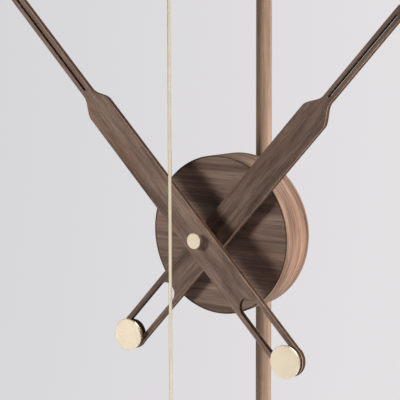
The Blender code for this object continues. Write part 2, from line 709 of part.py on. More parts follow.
def movement_inside():
    middle_y = CASE_FRONT_Y + (CASE_DEPTH + CASE_WALL) / 2.0
    low, high = BATTERY_ENDS
    shoulder = high - BATTERY_TIP_L
    cell = [
        (0.0, low), (BATTERY_R - 0.4, low), (BATTERY_R, low + 0.4), (BATTERY_R, shoulder - 0.4),
        (BATTERY_R - 0.4, shoulder), (BATTERY_TIP_R, shoulder), (BATTERY_TIP_R, high), (0.0, high),
    ]
    turned("movement_battery", cell, metal("steel_battery", GREY_PLASTIC), "X", (0.0, middle_y, BATTERY_Z), 20)
    wall = CASE_HALF - CASE_WALL - GAP
    battery_contact("left", -wall, 1.0)
    battery_contact("right", wall, -1.0)
    end = SPOOL_HALF_L
    wound = end - SPOOL_FLANGE_T
    spool = [
        (0.0, -end), (SPOOL_FLANGE_R, -end), (SPOOL_FLANGE_R, -wound), (SPOOL_R, -wound),
        (SPOOL_R, wound), (SPOOL_FLANGE_R, wound), (SPOOL_FLANGE_R, end), (0.0, end),
    ]
    turned("stepper_coil", spool, metal("copper_stepper_coil", COPPER), "X",
           (SPOOL_PLACE[0], middle_y, SPOOL_PLACE[1]), 16)
    block("movement_board", BOARD_LOW, BOARD_HIGH, plastic("green_board", BOARD_GREEN))


# ---------------------------------------------------------------- arm, head and pendulum

def arm():
    collar = turned("arm_collar", ring_profile(COLLAR_BORE_R, ARM_COLLAR_R, PIVOT_Z - ARM_COLLAR_H, PIVOT_Z),
                    metal("brass_arm_collar"), "Z", (0.0, POLE_Y, 0.0), 24)
    y_near = POLE_Y - COLLAR_BORE_R - POST_BITE
    y_socket = POLE_Y - COLLAR_R - ARM_STUB_L
    stub = turned("arm_collar_stub", solid_profile(ARM_R + ARM_STUB_WALL, y_near, y_socket),
                  metal("brass_arm_stub"), "Y", (0.0, 0.0, HEAD_Z), 20)
    combine(collar, stub, "UNION")
    turned("arm", solid_profile(ARM_R, y_socket - GAP, HEAD_BACK_Y + GAP, 0.4), wood("walnut_arm", WALNUT_WARM),
           "Y", (0.0, 0.0, HEAD_Z), 28)


def head():
    inner = HEAD_R - HEAD_WALL
    floor = HEAD_BACK_Y - HEAD_WALL
    cover_back = HEAD_FRONT_Y + HEAD_COVER_T
    shell = [
        (0.0, HEAD_BACK_Y), (HEAD_R - 1.0, HEAD_BACK_Y), (HEAD_R, HEAD_BACK_Y - 1.0),
        (HEAD_R, HEAD_FRONT_Y + RIM_CHAMFER), (HEAD_R - RIM_CHAMFER, HEAD_FRONT_Y), (HEAD_R - RIM_LIP, HEAD_FRONT_Y),
        (HEAD_R - RIM_LIP, cover_back + GAP), (inner, cover_back + GAP), (inner, floor), (0.0, floor),
    ]
    body = turned("head_shell", shell, wood("walnut_head_shell", WALNUT_WARM), "Y", (0.0, 0.0, HEAD_Z), 40)
    half_w, half_d = HEAD_SLOT_HALF
    slot = block("head_slot", (-half_w, ROD_Y - half_d, HEAD_Z - HEAD_R - 2.0),
                 (half_w, ROD_Y + half_d, HEAD_Z - inner + HEAD_SLOT_REACH),
                 plastic("head_slot", BLACK_PLASTIC))
    combine(body, slot, "DIFFERENCE")
    turned("head_cover", solid_profile(HEAD_R - RIM_LIP - GAP, HEAD_FRONT_Y, cover_back, 0.3),
           wood("walnut_head_cover"), "Y", (0.0, 0.0, HEAD_Z), 40)
    turned("pivot_pin", solid_profile(PIN_R, floor - GAP, cover_back + GAP), metal("steel_pivot_pin", STEEL),
           "Y", (0.0, 0.0, PIVOT_Z), 20)
    coil_z = PIVOT_Z - MAGNET_DROP
    coil_y = ROD_Y + HANGER_STEM_R + GAP + MAGNET_T + COIL_AIR
    turned("drive_coil", ring_profile(COIL_BORE_R, COIL_R, coil_y, coil_y + COIL_T),
           metal("copper_drive_coil", COPPER), "Y", (0.0, 0.0, coil_z), 20)
    board_y = coil_y + COIL_T + GAP
    low, high = DRIVE_BOARD_Z
    block("drive_board", (-DRIVE_BOARD_HALF_W, board_y, HEAD_Z + low),
          (DRIVE_BOARD_HALF_W, board_y + DRIVE_BOARD_T, HEAD_Z + high),
          plastic("green_drive_board", BOARD_GREEN))
    cell_y = board_y + DRIVE_BOARD_T + GAP
    turned("drive_cell", solid_profile(CELL_R, cell_y, cell_y + CELL_T), metal("steel_drive_cell", STEEL),
           "Y", (0.0, 0.0, HEAD_Z - CELL_DROP), 24)


def pendulum():
    pivot = (0.0, ROD_Y, PIVOT_Z)
    bob_z = PIVOT_Z - BOB_DROP
    mat = metal("brass_hanger")
    eye = ring_profile(HANGER_BORE_R, HANGER_R, ROD_Y - HANGER_HALF_T, ROD_Y + HANGER_HALF_T)
    hanger = turned("pendulum_hanger", eye, mat, "Y", (0.0, 0.0, PIVOT_Z), 20, pivot)
    socket = PIVOT_Z - HANGER_SOCKET
    stem_end = PIVOT_Z - HANGER_STEM_L
    rod_bore = ROD_R + ROD_PLAY
    start_r, start = HANGER_STEM_START
    stem = [
        (0.0, PIVOT_Z - start), (start_r, PIVOT_Z - start), (HANGER_STEM_R, PIVOT_Z - HANGER_STEM_SHOULDER),
        (HANGER_STEM_R, stem_end + 1.0), (HANGER_STEM_TIP_R, stem_end), (rod_bore, stem_end),
        (rod_bore, socket), (0.0, socket),
    ]
    combine(hanger, turned("hanger_stem", stem, mat, "Z", (0.0, ROD_Y, 0.0), 20, pivot), "UNION")
    magnet_y = ROD_Y + HANGER_STEM_R + GAP
    turned("drive_magnet", solid_profile(MAGNET_R, magnet_y, magnet_y + MAGNET_T), metal("steel_magnet", STEEL),
           "Y", (0.0, 0.0, PIVOT_Z - MAGNET_DROP), 20, pivot)
    tip = bob_z - BOB_R - ROD_TAIL
    turned("pendulum_rod", solid_profile(ROD_R, tip, socket - GAP), metal("brass_rod"),
           "Z", (0.0, ROD_Y, 0.0), 16, pivot)
    half = BOB_T / 2.0
    cheek = [(0.0, half), (BOB_R - BOB_FLAT, half)]
    cheek += [(BOB_R - inside, half - behind) for inside, behind in BOB_SHOULDERS]
    front = [(r, ROD_Y - a) for r, a in cheek]
    rear = [(r, ROD_Y + a) for r, a in reversed(cheek)]
    bob = turned("pendulum_bob", front + [(BOB_R, ROD_Y)] + rear, metal("brass_bob"), "Y", (0.0, 0.0, bob_z), 44,
                 pivot)
    bore = turned("bob_bore", solid_profile(rod_bore, bob_z - BOB_R - 5.0, bob_z + BOB_R + 5.0), mat,
                  "Z", (0.0, ROD_Y, 0.0), 16, pivot)
    combine(bob, bore, "DIFFERENCE")
    under = bob_z - BOB_R - BOB_END_GAP
    end = [
        (rod_bore, under), (END_CAP_R - 0.4, under), (END_CAP_R, under - 0.4),
        (END_CAP_R, under - END_CAP_L / 2.0), (END_CAP_NECK_R, under - END_CAP_L + 1.0),
        (0.0, under - END_CAP_L), (0.0, tip - GAP), (rod_bore, tip - GAP),
    ]
    turned("bob_end_cap", end, metal("brass_end_cap"), "Z", (0.0, ROD_Y, 0.0), 20, pivot)
    above = bob_z + BOB_R + BOB_END_GAP
    turned("bob_ferrule", ring_profile(rod_bore, FERRULE_R, above, above + FERRULE_H, FERRULE_CHAMFER),
           metal("brass_ferrule"), "Z", (0.0, ROD_Y, 0.0), 20, pivot)


def build():
    for obj in list(bpy.data.objects):
        bpy.data.objects.remove(obj, do_unlink=True)
    pole()
    for label, z in (("top", BRACKET_Z), ("middle", 0.0), ("bottom", -BRACKET_Z)):
        wall_bracket(label, z)
    for label, z in (("upper", DRUM_BRACKET_Z), ("lower", -DRUM_BRACKET_Z)):
        drum_bracket(label, z)
    drum()
    for label, angle in BACK_SCREW_ANGLES:
        back_screw(label, angle)
    hand("minute", MINUTE_FRONT_Y, MINUTE_ANGLE, MINUTE_TIP_S, MINUTE_BLADE_HALF_W, MINUTE_SHOULDER,
         ARBOR_R + WHEEL_BORE_PLAY)
    hand("hour", HOUR_FRONT_Y, HOUR_ANGLE, HOUR_TIP_S, HOUR_BLADE_HALF_W, HOUR_SHOULDER,
         TUBE_R + WHEEL_BORE_PLAY)
    spindle()
    bush_nut_and_washer()
    movement_case(wheels())
    movement_inside()
    arm()
    head()
    pendulum()


build()
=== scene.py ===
import json
import math

import bmesh
import bpy
from mathutils import Matrix, Vector


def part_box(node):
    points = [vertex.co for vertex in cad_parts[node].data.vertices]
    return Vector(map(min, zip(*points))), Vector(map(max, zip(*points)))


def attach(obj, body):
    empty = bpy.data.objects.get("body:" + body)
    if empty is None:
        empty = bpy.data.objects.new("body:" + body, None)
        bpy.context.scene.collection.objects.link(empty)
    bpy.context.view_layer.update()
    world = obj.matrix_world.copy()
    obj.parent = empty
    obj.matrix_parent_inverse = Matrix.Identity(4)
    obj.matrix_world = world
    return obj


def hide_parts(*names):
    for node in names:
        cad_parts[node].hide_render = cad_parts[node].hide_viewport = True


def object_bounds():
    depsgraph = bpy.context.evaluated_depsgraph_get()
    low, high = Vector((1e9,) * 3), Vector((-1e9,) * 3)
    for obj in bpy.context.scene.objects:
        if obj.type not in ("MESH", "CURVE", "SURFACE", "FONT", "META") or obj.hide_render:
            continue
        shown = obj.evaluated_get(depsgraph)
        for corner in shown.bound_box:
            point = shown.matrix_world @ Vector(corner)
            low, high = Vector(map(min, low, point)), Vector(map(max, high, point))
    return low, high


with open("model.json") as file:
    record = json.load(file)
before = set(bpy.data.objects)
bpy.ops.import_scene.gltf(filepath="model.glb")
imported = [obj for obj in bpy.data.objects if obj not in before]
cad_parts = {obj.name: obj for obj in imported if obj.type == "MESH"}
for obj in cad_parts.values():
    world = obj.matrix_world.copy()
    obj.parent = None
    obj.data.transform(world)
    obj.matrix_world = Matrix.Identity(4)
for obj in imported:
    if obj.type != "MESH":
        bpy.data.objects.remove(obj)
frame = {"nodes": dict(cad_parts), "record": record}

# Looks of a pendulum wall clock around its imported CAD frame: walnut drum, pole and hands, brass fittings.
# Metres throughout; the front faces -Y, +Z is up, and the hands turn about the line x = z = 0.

cad_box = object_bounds()

BODY_OF = {n: b for b, members in frame["record"]["behaviour"]["bodies"].items() for n in members}
SLOT_OF = {part["node"]: part["material_slot"] for part in frame["record"]["subparts"]}

# ------------------------------------------------------------------ camera and light

CAMERA_PLACE = (0.855, -1.3752, 0.2508)
CAMERA_YAW = 33.44
CAMERA_PITCH = -6.72
CAMERA_LENS = 146.3
CAMERA_SHIFT = (-0.1, -0.1)

BACKDROP_DIM = (0.665, 0.662, 0.680)       # the surround towards -X, darker: painted shade on the backdrop
BACKDROP_BRIGHT = (0.770, 0.750, 0.765)    # and towards +X, lighter: painted light on the backdrop
BACKDROP_SPAN = (-0.70, -0.47)
SKY_COLOUR = (0.95, 0.96, 1.0)
SKY_DIFFUSE = 0.035
SKY_GLOSSY = (0.20, 0.80)      # what metal mirrors: a dim room towards -X, a bright one towards +X
ROOM_SPAN = (-0.9, 0.0)
FLOOR_DROP = 0.02
FLOOR_RADIUS = 0.95


def make_camera():
    data = bpy.data.cameras.new("camera")
    data.lens = CAMERA_LENS
    data.sensor_width = 36.0
    data.shift_x, data.shift_y = CAMERA_SHIFT
    data.clip_end = 50.0
    camera = bpy.data.objects.new("camera", data)
    camera.location = CAMERA_PLACE
    camera.rotation_euler = (math.radians(90.0 + CAMERA_PITCH), 0.0, math.radians(CAMERA_YAW))
    bpy.context.scene.collection.objects.link(camera)
    bpy.context.scene.camera = camera


def area_light(name, place, target, size, power, colour, diffuse=True, glossy=True):
    data = bpy.data.lights.new(name, "AREA")
    data.shape = "RECTANGLE"
    data.size, data.size_y = size
    data.energy = power
    data.color = colour
    light = bpy.data.objects.new(name, data)
    light.location = place
    aim = Vector(target) - Vector(place)
    light.rotation_euler = aim.to_track_quat("-Z", "Y").to_euler()
    light.visible_diffuse = diffuse
    light.visible_glossy = glossy
    bpy.context.scene.collection.objects.link(light)


def make_world():
    """A pale surround: the camera sees the backdrop colour, painted darker towards -X as shade and lighter
    towards +X, and the object is lit by a soft neutral sky.
    """
    world = bpy.data.worlds.new("surround")
    bpy.context.scene.world = world
    world.use_nodes = True
    tree = world.node_tree
    tree.nodes.clear()
    out = tree.nodes.new("ShaderNodeOutputWorld")
    mix = tree.nodes.new("ShaderNodeMixShader")
    path = tree.nodes.new("ShaderNodeLightPath")
    sky = tree.nodes.new("ShaderNodeBackground")
    seen = tree.nodes.new("ShaderNodeBackground")
    sky.inputs["Color"].default_value = (*SKY_COLOUR, 1.0)
    room = tree.nodes.new("ShaderNodeMapRange")
    room.inputs["From Min"].default_value, room.inputs["From Max"].default_value = ROOM_SPAN
    room.inputs["To Min"].default_value, room.inputs["To Max"].default_value = SKY_GLOSSY
    level = tree.nodes.new("ShaderNodeMix")
    level.inputs[2].default_value = SKY_DIFFUSE
    tree.links.new(path.outputs["Is Glossy Ray"], level.inputs[0])
    tree.links.new(room.outputs["Result"], level.inputs[3])
    tree.links.new(level.outputs[0], sky.inputs["Strength"])
    place = tree.nodes.new("ShaderNodeTexCoord")
    split = tree.nodes.new("ShaderNodeSeparateXYZ")
    across = tree.nodes.new("ShaderNodeMapRange")
    across.inputs["From Min"].default_value, across.inputs["From Max"].default_value = BACKDROP_SPAN
    shade = tree.nodes.new("ShaderNodeMix")
    shade.data_type = "RGBA"
    shade.inputs[6].default_value = (*BACKDROP_DIM, 1.0)
    shade.inputs[7].default_value = (*BACKDROP_BRIGHT, 1.0)
    tree.links.new(place.outputs["Generated"], split.inputs[0])
    tree.links.new(split.outputs["X"], across.inputs["Value"])
    tree.links.new(split.outputs["X"], room.inputs["Value"])
    tree.links.new(across.outputs["Result"], shade.inputs[0])
    tree.links.new(shade.outputs[2], seen.inputs["Color"])
    tree.links.new(path.outputs["Is Camera Ray"], mix.inputs["Fac"])
    tree.links.new(sky.outputs[0], mix.inputs[1])
    tree.links.new(seen.outputs[0], mix.inputs[2])
    tree.links.new(mix.outputs[0], out.inputs["Surface"])


MIDDLE = (0.0, -0.12, 0.0)
LIGHTS = {
    "key_softbox": {"place": (-1.65, -2.15, 0.62), "target": MIDDLE, "size": (0.7, 0.7), "power": 56.0,
                    "colour": (1.0, 0.98, 0.95), "glossy": False},
    "right_softbox": {"place": (1.9, 0.02, 0.25), "target": (0.0, 0.02, 0.0), "size": (0.25, 1.4),
                      "power": 118.0, "colour": (1.0, 0.96, 0.92), "glossy": False},
    "back_softbox": {"place": (0.6, 1.7, 1.6), "target": MIDDLE, "size": (1.6, 1.6), "power": 26.0,
                     "colour": (1.0, 0.99, 0.98)},
    "reflector": {"place": (-2.0, -2.2, -0.75), "target": MIDDLE, "size": (1.6, 1.6), "power": 9.0,
                  "colour": (1.0, 0.99, 0.97), "diffuse": False},
}


def make_lights():
    """A key at the left front, a side light at the right, one behind, and a card that metal mirrors."""
    for name, light in LIGHTS.items():
        area_light(name, **light)


# ------------------------------------------------------------------ materials

class Nodes:
    """A Principled material being wired up."""

    def __init__(self, name):
        self.material = bpy.data.materials.new(name)
        self.material.use_nodes = True
        self.tree = self.material.node_tree
        self.shader = self.tree.nodes["Principled BSDF"]

    def add(self, kind, **values):
        node = self.tree.nodes.new("ShaderNode" + kind)
        for key, value in values.items():
            if key in node.inputs:
                node.inputs[key].default_value = value
            else:
                setattr(node, key, value)
        return node

    def link(self, source, node, key):
        self.tree.links.new(source, node.inputs[key])

    def coordinates(self, scale, turn=0.0, shift=(0.0, 0.0, 0.0)):
        """Object coordinates turned about Y by `turn` degrees, then scaled along each axis."""
        place = self.add("TexCoord")
        spin = self.add("Mapping", vector_type="POINT")
        spin.inputs["Rotation"].default_value = (0.0, math.radians(turn), 0.0)
        spin.inputs["Location"].default_value = shift
        self.link(place.outputs["Object"], spin, "Vector")
        stretch = self.add("VectorMath", operation="MULTIPLY")
        stretch.inputs[1].default_value = scale
        self.link(spin.outputs[0], stretch, 0)
        return stretch.outputs[0]

    def noise(self, vector, detail=3.0, roughness=0.55, distortion=0.0, scale=1.0):
        node = self.add("TexNoise", Scale=scale, Detail=detail, Roughness=roughness, Distortion=distortion)
        self.link(vector, node, "Vector")
        return node.outputs["Fac"]

    def ramp(self, factor, *stops):
        node = self.add("ValToRGB")
        elements = node.color_ramp.elements
        while len(elements) < len(stops):
            elements.new(0.5)
        for element, (position, colour) in zip(elements, stops):
            element.position = position
            element.color = (*colour, 1.0) if len(colour) == 3 else colour
        self.link(factor, node, "Fac")
        return node.outputs["Color"]

    def grey(self, factor, low, high, from_value=0.0, to_value=1.0):
        node = self.add("MapRange", clamp=True)
        node.inputs["From Min"].default_value = low
        node.inputs["From Max"].default_value = high
        node.inputs["To Min"].default_value = from_value
        node.inputs["To Max"].default_value = to_value
        self.link(factor, node, "Value")
        return node.outputs["Result"]

    def mix(self, factor, first, second, blend="MIX"):
        node = self.add("Mix", data_type="RGBA", blend_type=blend)
        for value, key in ((factor, 0), (first, 6), (second, 7)):
            if isinstance(value, (int, float)):
                node.inputs[key].default_value = value
            elif isinstance(value, tuple):
                node.inputs[key].default_value = (*value, 1.0)
            else:
                self.tree.links.new(value, node.inputs[key])
        return node.outputs[2]

    def bump(self, height, strength, distance):
        node = self.add("Bump", Strength=strength, Distance=distance)
        self.link(height, node, "Height")
        self.link(node.outputs[0], self.shader, "Normal")


WALNUT_DARK = (0.105, 0.064, 0.048)
WALNUT_MID = (0.185, 0.118, 0.088)
WALNUT_LIGHT = (0.270, 0.178, 0.132)
WALNUT_RED = (0.235, 0.115, 0.070)
NEUTRAL = (1.0, 1.0, 1.0)
COOL = (0.99, 1.05, 1.12)
PALE = (1.0, 1.07, 1.04)
WARM = (1.0, 0.96, 0.91)
RUDDY = (1.0, 0.91, 0.82)


def walnut(name, grain, turn=0.0, shift=(0.0, 0.0, 0.0), tone=1.0, tint=NEUTRAL, contrast=1.0, band=60.0,
           along=1.0, fine=620.0, fleck=1.0, gloss=0.12):
    """Oiled walnut. `grain` holds the axes (0, 1 or 2) the fibres run along, after turning about Y by `turn`.

    `band` and `fine` are the figure's and the fibres' frequencies across the grain, in cycles per metre.
    """
    nodes = Nodes(name)

    def stretched(across, lengthways):
        scale = [across, across, across]
        for axis in grain:
            scale[axis] = lengthways * along
        return nodes.coordinates(scale, turn, shift)

    def toned(colour):
        return tuple(min(1.0, c * tone * t) for c, t in zip(colour, tint))

    broad = nodes.noise(stretched(band * 0.35, 2.0), 2.0, 0.5, 0.6)
    figure = nodes.noise(stretched(band * 1.6, 3.5), 4.0, 0.62, 0.35)
    fibre = nodes.noise(stretched(fine, 16.0), 3.0, 0.6)
    pores = nodes.noise(stretched(1100.0, 55.0), 2.0, 0.5)
    blush = nodes.noise(stretched(band * 0.8, 2.4), 2.0, 0.5)

    spread = 0.16 / contrast
    colour = nodes.ramp(nodes.grey(figure, 0.5 - spread, 0.5 + spread),
                        (0.0, toned(WALNUT_DARK)), (0.45, toned(WALNUT_MID)), (1.0, toned(WALNUT_LIGHT)))
    colour = nodes.mix(nodes.grey(blush, 0.52, 0.72, 0.0, 0.45), colour, toned(WALNUT_RED))
    colour = nodes.mix(nodes.grey(broad, 0.35, 0.65, 0.0, 0.5), colour, toned(WALNUT_MID))
    depth = 0.22 * fleck
    shade = nodes.ramp(nodes.grey(fibre, 0.3, 0.7), (0.0, (1.0 - depth,) * 3),
                       (1.0, (1.0 + 0.65 * depth,) * 3))
    colour = nodes.mix(1.0, colour, shade, "MULTIPLY")
    pore = nodes.ramp(nodes.grey(pores, 0.60, 0.72), (0.0, (1.0, 1.0, 1.0)), (1.0, (0.58, 0.54, 0.52)))
    colour = nodes.mix(0.8, colour, pore, "MULTIPLY")
    nodes.link(colour, nodes.shader, "Base Color")
    nodes.link(nodes.grey(fibre, 0.25, 0.75, 0.62, 0.46), nodes.shader, "Roughness")
    nodes.shader.inputs["Specular IOR Level"].default_value = gloss
    nodes.bump(nodes.mix(0.5, fibre, pore), 0.22, 0.0003)
    return nodes.material


BRASS = (0.900, 0.785, 0.610)
BRASS_DEEP = (0.860, 0.735, 0.545)
ROD_LIGHT = (0.99, 0.88, 0.68)
ROD_DEEP = (0.91, 0.78, 0.55)


def brass(name, roughness=0.34, light=BRASS, deep=BRASS_DEEP, brushing=(300.0, 300.0, 300.0), strength=0.05):
    nodes = Nodes(name)
    cloud = nodes.noise(nodes.coordinates((45.0, 45.0, 45.0)), 3.0, 0.55)
    hair = nodes.noise(nodes.coordinates(brushing), 3.0, 0.6)
    colour = nodes.ramp(nodes.grey(cloud, 0.3, 0.7), (0.0, deep), (1.0, light))
    nodes.link(colour, nodes.shader, "Base Color")
    nodes.link(nodes.grey(hair, 0.25, 0.75, roughness - 0.06, roughness + 0.07), nodes.shader, "Roughness")
    nodes.shader.inputs["Metallic"].default_value = 1.0
    nodes.bump(hair, strength, 0.0001)
    return nodes.material


def steel(name, colour=(0.56, 0.57, 0.59), roughness=0.32):
    nodes = Nodes(name)
    hair = nodes.noise(nodes.coordinates((900.0, 900.0, 900.0)), 3.0, 0.6)
    tone = nodes.ramp(nodes.grey(hair, 0.3, 0.7), (0.0, tuple(c * 0.82 for c in colour)), (1.0, colour))
    nodes.link(tone, nodes.shader, "Base Color")
    nodes.link(nodes.grey(hair, 0.3, 0.7, roughness - 0.05, roughness + 0.08), nodes.shader, "Roughness")
    nodes.shader.inputs["Metallic"].default_value = 1.0
    nodes.bump(hair, 0.06, 0.0001)
    return nodes.material


def moulded(name, colour, roughness=0.5, texture=1400.0):
    """Moulded plastic with a fine spark-eroded texture."""
    nodes = Nodes(name)
    grain = nodes.noise(nodes.coordinates((texture, texture, texture)), 2.0, 0.6)
    cloud = nodes.noise(nodes.coordinates((60.0, 60.0, 60.0)), 2.0, 0.5)
    tone = nodes.ramp(nodes.grey(cloud, 0.3, 0.7), (0.0, tuple(c * 0.88 for c in colour)), (1.0, colour))
    nodes.link(tone, nodes.shader, "Base Color")
    nodes.link(nodes.grey(grain, 0.3, 0.7, roughness - 0.05, roughness + 0.08), nodes.shader, "Roughness")
    nodes.bump(grain, 0.12, 0.0001)
    return nodes.material


def winding(name, colour, pitch, axis):
    """Enamelled wire laid in even turns along one axis, with painted shade in the grooves between turns."""
    nodes = Nodes(name)
    scale = [0.0, 0.0, 0.0]
    scale[axis] = 1.0
    wave = nodes.add("TexWave", bands_direction="XYZ"[axis], Scale=2.0 / pitch / 20.0 * math.pi)
    nodes.link(nodes.coordinates((1.0, 1.0, 1.0)), wave, "Vector")
    # Painted shade: the colour darkens to 45 % in the grooves between the turns.
    tone = nodes.ramp(wave.outputs["Fac"], (0.0, tuple(c * 0.45 for c in colour)), (1.0, colour))
    nodes.link(tone, nodes.shader, "Base Color")
    nodes.shader.inputs["Metallic"].default_value = 0.85
    nodes.link(nodes.grey(wave.outputs["Fac"], 0.0, 1.0, 0.5, 0.3), nodes.shader, "Roughness")
    nodes.bump(wave.outputs["Fac"], 0.4, 0.0001)
    return nodes.material


MINUTE_TURN = -44.5
HOUR_TURN = 42.5

finishes = {
    "rim": walnut("walnut_rim", (0, 2), tone=0.74, tint=WARM, contrast=0.9, band=95.0, along=1.2, fine=300.0,
                  fleck=2.2),
    "face": walnut("walnut_face", (0,), shift=(0.2, 0.0, 0.05), tone=1.28, tint=COOL, contrast=1.3, band=60.0,
                   fine=480.0, fleck=1.5),
    "minute": walnut("walnut_minute", (2,), -MINUTE_TURN, (0.3, 0.1, 0.0), tone=1.27, tint=COOL, band=60.0,
                     along=2.4, fine=450.0, fleck=1.5),
    "hour": walnut("walnut_hour", (2,), -HOUR_TURN, (0.7, 0.4, 0.2), tone=0.98, tint=COOL, band=60.0,
                   along=2.4, fine=450.0, fleck=1.6),
    "pole": walnut("walnut_pole", (2,), shift=(0.1, 0.3, 0.4), tone=0.98, tint=PALE, contrast=1.2, band=110.0),
    "arm": walnut("walnut_arm", (1,), shift=(0.5, 0.1, 0.9), tone=1.1, tint=RUDDY, contrast=1.2, band=110.0),
    "head": walnut("walnut_head", (0, 2), tone=1.25, tint=RUDDY, contrast=1.4, band=120.0, along=2.0),
    "cover": walnut("walnut_cover", (0,), shift=(0.6, 0.0, 0.4), tone=1.15, contrast=1.2, band=75.0),
    "back": walnut("walnut_back", (2,), shift=(0.9, 0.2, 0.5), tone=1.1, band=70.0),
    # The weight bosses are a dark walnut, darkened further and almost without sheen as painted shade under the
    # brass discs.
    "boss": walnut("walnut_boss_painted_shade", (0,), shift=(0.4, 0.8, 0.1), tone=0.30, tint=RUDDY, band=90.0, gloss=0.02),
    # The hands' side walls are given a walnut far darker than their faces.
    "dark_sides": walnut("walnut_edge", (2,), shift=(0.2, 0.6, 0.1), tone=0.20, tint=RUDDY, band=90.0, gloss=0.02),
    "brass": brass("satin_brass"),
    "disc": brass("satin_brass_turned", 0.42, brushing=(520.0, 520.0, 520.0), strength=0.012),
    "rod": brass("satin_brass_drawn", 0.30, ROD_LIGHT, ROD_DEEP, (900.0, 900.0, 60.0), 0.01),
    "steel": steel("plain_steel"),
    "black": moulded("black_plastic", (0.028, 0.028, 0.030)),
    "nylon": moulded("natural_nylon", (0.80, 0.79, 0.74), 0.4),
    "board": moulded("circuit_board", (0.03, 0.19, 0.085), 0.35, 500.0),
    "battery": moulded("battery_sleeve", (0.32, 0.33, 0.34), 0.3, 300.0),
    "copper_x": winding("copper_winding_x", (0.72, 0.32, 0.16), 0.0004, 0),
    "copper_y": winding("copper_winding_y", (0.72, 0.32, 0.16), 0.0004, 1),
}

NODE_FINISH = {
    "pole": "pole", "arm": "arm", "drum_rim": "rim", "drum_face": "face", "drum_back": "back",
    "minute_hand": "minute", "hour_hand": "hour", "minute_weight_boss": "boss", "hour_weight_boss": "boss",
    "head_shell": "head", "head_cover": "face", "stepper_coil": "copper_x", "drive_coil": "copper_y",
}
SLOT_FINISH = {
    "satin_brass": "brass", "steel": "steel", "black_plastic": "black", "nylon": "nylon",
    "circuit_board": "board", "battery_jacket": "battery", "walnut": "face", "walnut_light": "pole",
    "copper_winding": "copper_y",
}


def dress_frame():
    """Every CAD node that stays gets its finish."""
    for name, obj in frame["nodes"].items():
        finish = finishes[NODE_FINISH.get(name) or SLOT_FINISH[SLOT_OF[name]]]
        for slot in obj.material_slots:
            slot.material = finish


# ------------------------------------------------------------------ mesh building
# Pieces are drawn in millimetres, at sizes taken from the CAD boxes, and scaled to metres once.

MM = 0.001
EDGE_STEPS = 5          # facets across a rounded edge
SMOOTH_ANGLE = 40.0     # edges sharper than this stay crisp
ROUND_SIDES = 96


def box(node):
    low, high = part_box(node)
    return low / MM, high / MM


def extent(node, axis):
    low, high = box(node)
    return low[axis], high[axis]


def centre(node):
    low, high = box(node)
    return (low + high) / 2.0


def radius_of(node):
    low, high = box(node)
    return (high.x - low.x) / 2.0


def rounded(corners, steps=EDGE_STEPS):
    """Closed outline from (x, y, radius) corners; each corner is swept by an arc of its radius."""
    points = []
    for k, (x, y, radius) in enumerate(corners):
        here = Vector((x, y))
        if radius <= 0.0:
            points.append((x, y))
            continue
        before = (Vector(corners[k - 1][:2]) - here).normalized()
        after = (Vector(corners[(k + 1) % len(corners)][:2]) - here).normalized()
        half = before.angle(after) / 2.0
        middle = here + (before + after).normalized() * (radius / math.sin(half))
        start = here + before * (radius / math.tan(half)) - middle
        sweep = start.angle_signed(here + after * (radius / math.tan(half)) - middle)
        for step in range(steps + 1):
            turn = -sweep * step / steps
            c, s = math.cos(turn), math.sin(turn)
            points.append((middle.x + start.x * c - start.y * s, middle.y + start.x * s + start.y * c))
    return points


def lathe(profile, axis="Y", at=(0.0, 0.0, 0.0), sides=ROUND_SIDES):
    """Revolve a closed (radius, height) outline about an axis through `at`; radius 0 gives a pole."""
    bm = bmesh.new()
    rings = []
    for r, a in profile:
        ring = []
        for k in range(1 if r < 1e-6 else sides):
            angle = 2.0 * math.pi * k / sides
            c, s = r * math.cos(angle), r * math.sin(angle)
            if r < 1e-6:
                c = s = 0.0
            place = {"X": (a, c, s), "Y": (c, a, s), "Z": (c, s, a)}[axis]
            ring.append(bm.verts.new(Vector(place) + Vector(at)))
        rings.append(ring)
    for first, second in zip(rings, rings[1:] + rings[:1]):
        if len(first) == 1 and len(second) == 1:
            continue
        for k in range(sides):
            n = (k + 1) % sides
            corners = [first[k % len(first)], second[k % len(second)], second[n % len(second)],
                       first[n % len(first)]]
            bm.faces.new(list(dict.fromkeys(corners)))
    return bm


def rod(r, a0, a1, edge, axis="Y", at=(0.0, 0.0, 0.0), sides=ROUND_SIDES):
    """A solid round bar with rounded ends."""
    return lathe(rounded([(0.0, a0, 0.0), (r, a0, edge), (r, a1, edge), (0.0, a1, 0.0)]), axis, at, sides)


def ring(bore, r, a0, a1, edge, axis="Y", at=(0.0, 0.0, 0.0), sides=ROUND_SIDES):
    """A round bush: all four edges rounded."""
    corners = [(bore, a0, edge), (r, a0, edge), (r, a1, edge), (bore, a1, edge)]
    return lathe(rounded(corners), axis, at, sides)


def inset(points, amount):
    """Move a loop's points towards its own material: inwards if anticlockwise, outwards if clockwise."""
    moved = []
    for k, (x, z) in enumerate(points):
        px, pz = points[k - 1]
        nx, nz = points[(k + 1) % len(points)]
        before = Vector((x - px, z - pz)).normalized()
        after = Vector((nx - x, nz - z)).normalized()
        along = (before + after).normalized()
        stretch = 1.0 / max(0.6, along.dot(after))
        moved.append((x - along.y * amount * stretch, z + along.x * amount * stretch))
    return moved


